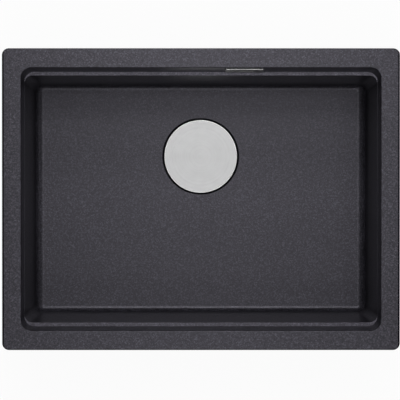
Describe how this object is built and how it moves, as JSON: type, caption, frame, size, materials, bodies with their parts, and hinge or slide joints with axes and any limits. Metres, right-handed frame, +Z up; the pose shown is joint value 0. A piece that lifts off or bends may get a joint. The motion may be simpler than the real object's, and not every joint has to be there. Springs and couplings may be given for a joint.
{
  "type": "undermount kitchen sink",
  "caption": "Rectangular undermount composite sink bowl with accessory ledges, covered basket-strainer waste, piped overflow and swivel mounting clips.",
  "frame": {"origin": "centre of the rim's top face, the face that is sealed to the underside of the worktop", "axes": "+X to the right along the long side, +Y to the back of the sink, +Z up out of the bowl"},
  "size_m": [0.58, 0.44, 0.3297],
  "materials": {
    "composite": "satin",
    "brushed_steel": "satin",
    "zinc_steel": "satin",
    "brass": "satin",
    "black_plastic": "satin",
    "grey_plastic": "satin",
    "rubber": "matte"
  },
  "bodies": {
    "sink": {"sink_bowl": "composite", "strainer_dish": "brushed_steel", "centre_screw": "brushed_steel", "overflow_cover": "brushed_steel", "overflow_screw_left": "brushed_steel", "overflow_screw_right": "brushed_steel", "flange_seal": "rubber", "body_seal": "rubber", "outlet_washer": "rubber", "overflow_gasket": "rubber", "overflow_upper_seal": "rubber", "overflow_lower_seal": "rubber", "waste_body": "black_plastic", "outlet_nut": "black_plastic", "overflow_housing": "black_plastic", "overflow_upper_nut": "black_plastic", "overflow_lower_nut": "black_plastic", "tailpiece": "grey_plastic", "overflow_pipe": "grey_plastic", "centre_insert": "brass", "overflow_insert_left": "brass", "overflow_insert_right": "brass", "clip_back_left_screw": "zinc_steel", "clip_back_left_washer": "zinc_steel", "clip_back_left_insert": "brass", "clip_back_right_screw": "zinc_steel", "clip_back_right_washer": "zinc_steel", "clip_back_right_insert": "brass", "clip_front_left_screw": "zinc_steel", "clip_front_left_washer": "zinc_steel", "clip_front_left_insert": "brass", "clip_front_right_screw": "zinc_steel", "clip_front_right_washer": "zinc_steel", "clip_front_right_insert": "brass", "clip_left_screw": "zinc_steel", "clip_left_washer": "zinc_steel", "clip_left_insert": "brass", "clip_right_screw": "zinc_steel", "clip_right_washer": "zinc_steel", "clip_right_insert": "brass"},
    "basket": {"basket_cup": "brushed_steel", "basket_knob": "brushed_steel", "basket_stopper": "rubber"},
    "cover": {"drain_cover": "brushed_steel", "cover_carrier": "black_plastic"},
    "clip_back_left": {"clip_back_left": "zinc_steel"},
    "clip_back_right": {"clip_back_right": "zinc_steel"},
    "clip_front_left": {"clip_front_left": "zinc_steel"},
    "clip_front_right": {"clip_front_right": "zinc_steel"},
    "clip_left": {"clip_left": "zinc_steel"},
    "clip_right": {"clip_right": "zinc_steel"}
  },
  "joints": [
    {"name": "basket_lift", "type": "slide", "parent": "sink", "child": "basket", "axis": [0, 0, 1], "range_m": [0, 0.26]},
    {"name": "cover_lift", "type": "slide", "parent": "basket", "child": "cover", "axis": [0, 0, 1], "range_m": [0, 0.24]},
    {"name": "clip_back_left_swivel", "type": "hinge", "parent": "sink", "child": "clip_back_left", "pos_m": [-0.165, 0.21125, -0.0113], "axis": [0, 0, -1], "range_deg": [0, 180]},
    {"name": "clip_back_right_swivel", "type": "hinge", "parent": "sink", "child": "clip_back_right", "pos_m": [0.165, 0.21125, -0.0113], "axis": [0, 0, 1], "range_deg": [0, 180]},
    {"name": "clip_front_left_swivel", "type": "hinge", "parent": "sink", "child": "clip_front_left", "pos_m": [-0.165, -0.21125, -0.0113], "axis": [0, 0, 1], "range_deg": [0, 180]},
    {"name": "clip_front_right_swivel", "type": "hinge", "parent": "sink", "child": "clip_front_right", "pos_m": [0.165, -0.21125, -0.0113], "axis": [0, 0, -1], "range_deg": [0, 180]},
    {"name": "clip_left_swivel", "type": "hinge", "parent": "sink", "child": "clip_left", "pos_m": [-0.2815, -0.02, -0.0113], "axis": [0, 0, 1], "range_deg": [0, 180]},
    {"name": "clip_right_swivel", "type": "hinge", "parent": "sink", "child": "clip_right", "pos_m": [0.2815, -0.02, -0.0113], "axis": [0, 0, -1], "range_deg": [0, 180]}
  ]
}
